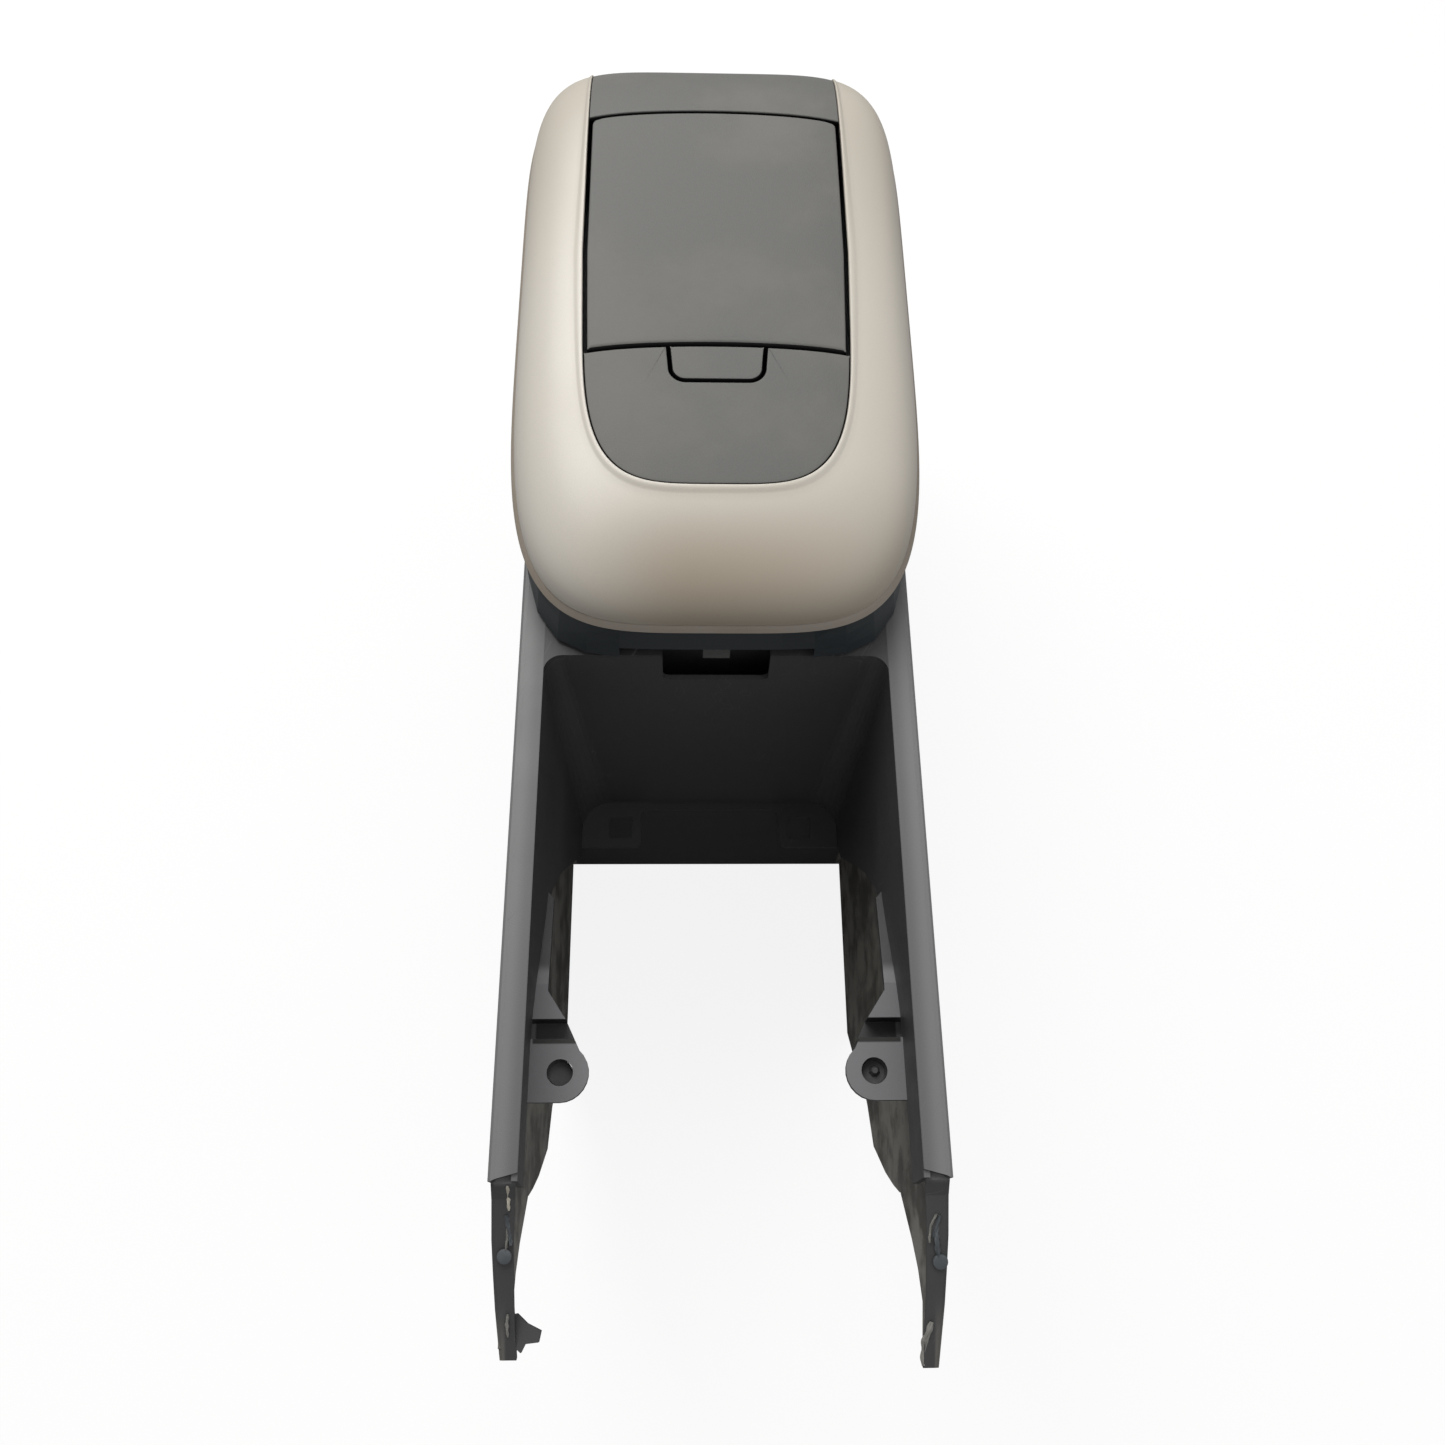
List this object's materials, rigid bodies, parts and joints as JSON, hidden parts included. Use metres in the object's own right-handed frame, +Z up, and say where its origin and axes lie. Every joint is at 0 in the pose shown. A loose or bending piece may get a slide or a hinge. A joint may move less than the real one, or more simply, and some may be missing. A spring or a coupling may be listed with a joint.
{
  "type": "console armrest",
  "caption": "Rear section of a floor console: an open pocket between two flanged sides and a hinged, domed armrest lid with a release button and a flap over a shallow tray.",
  "frame": {"origin": "centre of the bounding box in plan, on the floor", "axes": "+X to the right and +Y to the lid's hinge, seen from the pocket's open end; +Z up"},
  "size_m": [0.1882, 0.6122, 0.3158],
  "materials": {
    "console_plastic": "charcoal moulding, satin inside the pocket, scuffed at the flanges",
    "satin_beige": "beige-silver satin paint on plastic",
    "grey_trim": "fine-grained warm grey",
    "latch_grey": "plain grey moulding",
    "dark_shell": "bluish charcoal moulding",
    "zinc_steel": "plain zinc-plated steel",
    "spring_steel": "wound spring wire",
    "stop_rubber": "soft black rubber"
  },
  "bodies": {
    "console": {"console_body": "console_plastic", "rear_cover": "console_plastic", "storage_bin": "console_plastic", "lid_stop_right": "stop_rubber", "lid_stop_left": "stop_rubber", "hinge_bracket": "zinc_steel", "hinge_pin": "zinc_steel", "latch_keeper": "zinc_steel", "hinge_bracket_screw_1": "zinc_steel", "hinge_bracket_screw_2": "zinc_steel"},
    "lid": {"lid_frame": "satin_beige", "lid_lower_shell": "dark_shell", "lid_tray": "dark_shell", "front_panel": "grey_trim", "rear_strip": "grey_trim", "hinge_leaf": "zinc_steel", "door_hinge_pin": "zinc_steel", "latch_pin": "zinc_steel", "latch_spring": "spring_steel", "button_spring": "spring_steel", "hinge_leaf_screw_1": "zinc_steel", "hinge_leaf_screw_2": "zinc_steel", "lid_shell_screw_1": "zinc_steel", "lid_shell_screw_2": "zinc_steel", "lid_shell_screw_3": "zinc_steel", "lid_shell_screw_4": "zinc_steel"},
    "door": {"tray_door": "grey_trim", "door_inner_panel": "dark_shell"},
    "button": {"door_button": "grey_trim"},
    "latch": {"lid_latch_lever": "latch_grey"}
  },
  "joints": [
    {"name": "lid_hinge", "type": "hinge", "parent": "console", "child": "lid", "pos_m": [0, 0.30345, 0.265], "axis": [-1, 0, 0], "range_deg": [0, 80]},
    {"name": "tray_door_hinge", "type": "hinge", "parent": "lid", "child": "door", "pos_m": [0, 0.24045, 0.3093], "axis": [-1, 0, 0], "range_deg": [0, 85]},
    {"name": "door_button_slide", "type": "slide", "parent": "lid", "child": "button", "axis": [0, 0, -1], "range_m": [0, 0.0025], "stiffness_N_per_m": 250, "springref_m": -0.003, "deforming": ["button_spring"]},
    {"name": "lid_latch_pivot", "type": "hinge", "parent": "lid", "child": "latch", "pos_m": [0, -0.01105, 0.277], "axis": [-1, 0, 0], "range_deg": [0, 7], "stiffness_Nm_per_rad": 0.06, "springref_deg": -11.46}
  ]
}
